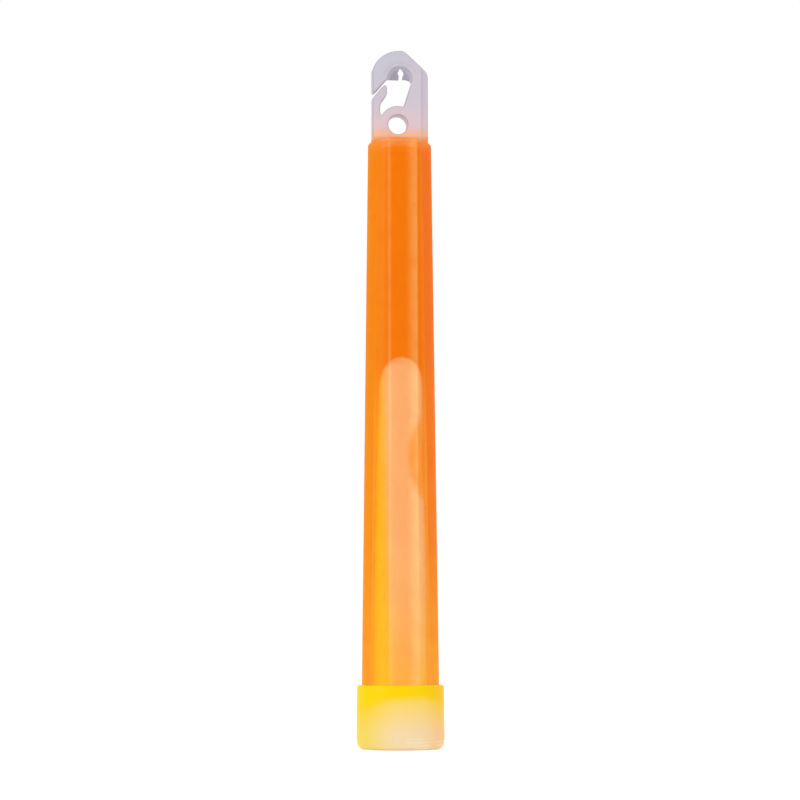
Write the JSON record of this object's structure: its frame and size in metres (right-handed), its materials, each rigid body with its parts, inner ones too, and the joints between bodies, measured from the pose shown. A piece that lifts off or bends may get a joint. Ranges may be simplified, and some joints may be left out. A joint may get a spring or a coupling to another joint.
{
  "type": "chemical light stick",
  "caption": "Snap-to-light marker stick: a tapered six-flat translucent tube with a moulded gated hook at one end, a welded cap at the other, and a glass ampoule in orange dye solution.",
  "frame": {"origin": "centre of the flat face that the cap stands on", "axes": "+Z along the stick from the cap to the hook, -Y out of the hook tab's front, +X across the tab to the right, away from the hook's slit"},
  "size_m": [0.0188, 0.0188, 0.15],
  "materials": {
    "natural_polyethylene": "milky, satin, tinted orange near the tube",
    "lit_tube_wall": "translucent satin wall, orange from the solution behind it",
    "lit_cap": "milky satin, yellow at the top and cream below",
    "ampoule_glass": "clear thin glass",
    "activator_liquid": "pale glowing liquid",
    "dye_liquid": "clear orange glowing liquid"
  },
  "bodies": {
    "cap_end": {"end_cap": "lit_cap", "tube_lower": "lit_tube_wall", "tube_flex_zone": "lit_tube_wall", "ampoule_lower": "ampoule_glass", "activator_solution": "activator_liquid", "dye_solution": "dye_liquid"},
    "hook_end": {"tube_upper": "lit_tube_wall", "hook_tab": "natural_polyethylene"},
    "gate": {"hook_gate": "natural_polyethylene"},
    "loose_glass": {"ampoule_upper": "ampoule_glass"}
  },
  "joints": [
    {"name": "snap_bend", "type": "hinge", "parent": "cap_end", "child": "hook_end", "pos_m": [0, 0, 0.0625], "axis": [0, 1, 0], "range_deg": [-35, 35], "stiffness_Nm_per_rad": 3, "deforming": ["tube_flex_zone", "dye_solution", "activator_solution"]},
    {"name": "gate_flex", "type": "hinge", "parent": "hook_end", "child": "gate", "pos_m": [-0.00503, 0, 0.13655], "axis": [0, 1, 0], "range_deg": [-3, 20], "stiffness_Nm_per_rad": 0.15},
    {"name": "glass_float", "type": "slide", "parent": "hook_end", "child": "loose_glass", "axis": [0, 0, 1], "range_m": [0, 0.044]}
  ]
}
